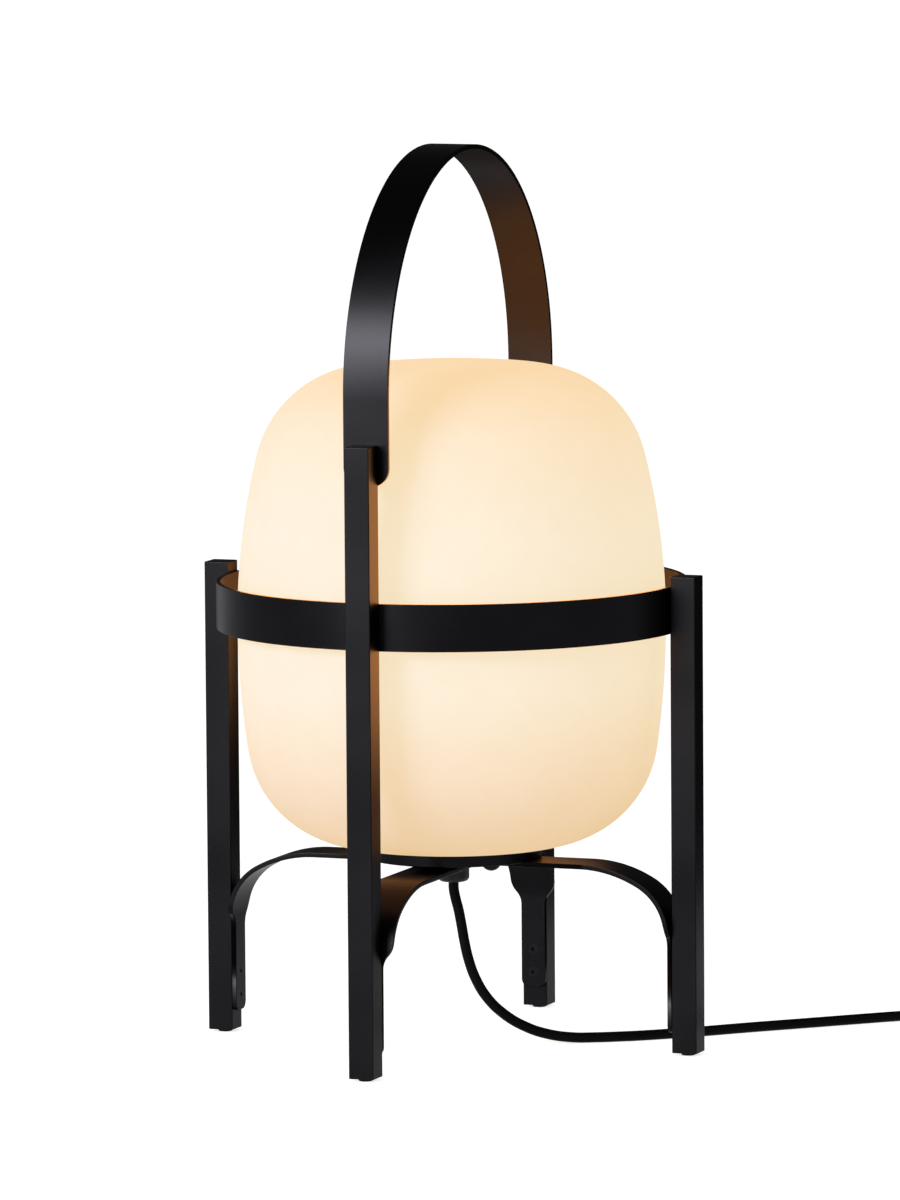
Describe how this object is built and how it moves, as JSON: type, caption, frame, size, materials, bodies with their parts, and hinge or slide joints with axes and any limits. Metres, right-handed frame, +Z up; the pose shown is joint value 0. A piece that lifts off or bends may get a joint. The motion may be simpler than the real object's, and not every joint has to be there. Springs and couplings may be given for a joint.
{
  "type": "table lamp",
  "caption": "Lantern table lamp: an opal glass globe in a black cage of four square posts with a strap handle, a belt ring and crossing arches, on a mains cord.",
  "frame": {"origin": "on the surface that the lamp stands on, under the middle of the globe", "axes": "+Z up, +X to the right short post, -Y to the front tall post"},
  "size_m": [0.5642, 0.3513, 0.56],
  "materials": {
    "frame": "satin black powder coat",
    "screws": "blackened steel",
    "feet": "matt black",
    "steel": "zinc plated",
    "seal": "matt black",
    "gland": "moulded black",
    "wires": "insulated",
    "holder": "moulded black",
    "ceramic": "unglazed white",
    "brass": "plain",
    "bulb_glass": "clear",
    "stem_glass": "clear",
    "cap_metal": "nickel plated",
    "insulator": "black glass",
    "filament": "phosphor coated",
    "opal_glass": "mouth-blown opal, lit from within",
    "cord": "smooth black sheath",
    "switch": "moulded black",
    "rocker": "moulded black",
    "tie": "matt black band",
    "plug": "moulded black"
  },
  "bodies": {
    "lamp": {"post_front": "frame", "post_back": "frame", "post_left": "frame", "post_right": "frame", "glide_feet": "feet", "handle_strap": "frame", "handle_screws": "screws", "belt_ring": "frame", "belt_screws": "screws", "arch_upper": "frame", "arch_lower": "frame", "arch_screws": "screws", "globe_dish": "frame", "dish_screws": "screws", "dish_nuts": "steel", "neck_gasket": "seal", "neck_springs": "steel", "spring_rivets": "steel", "cord_gland": "gland", "threaded_tube": "steel", "lock_nut": "steel", "core_wires": "wires", "holder_cap": "holder", "holder_sleeve": "holder", "holder_core": "ceramic", "socket_shell": "brass", "centre_contact": "brass", "terminal_screws": "brass", "cord_lead": "cord", "switch_base": "switch", "switch_cover": "switch", "switch_screws": "steel", "switch_contacts": "brass", "cord_link": "cord", "cord_coil": "cord", "coil_tie": "tie", "cord_tail": "cord", "plug_relief": "plug", "plug_body": "plug", "plug_pins": "cap_metal", "pin_sleeves": "plug"},
    "globe": {"globe_shade": "opal_glass"},
    "bulb": {"bulb_glass": "bulb_glass", "bulb_cap": "cap_metal", "bulb_insulator": "insulator", "bulb_contact": "cap_metal", "bulb_stem": "stem_glass", "bulb_filaments": "filament"},
    "rocker": {"switch_rocker": "rocker"}
  },
  "joints": [
    {"name": "globe_lift", "type": "slide", "parent": "lamp", "child": "globe", "axis": [0, 0, 1], "range_m": [0, 0.1]},
    {"name": "bulb_screw", "type": "hinge", "parent": "lamp", "child": "bulb", "pos_m": [0, 0, 0.15], "axis": [0, 0, 1], "range_deg": [0, 1800]},
    {"name": "switch_rock", "type": "hinge", "parent": "lamp", "child": "rocker", "pos_m": [0.309, 0.097, 0.0115], "axis": [-1, 0, 0], "range_deg": [0, 14]}
  ]
}
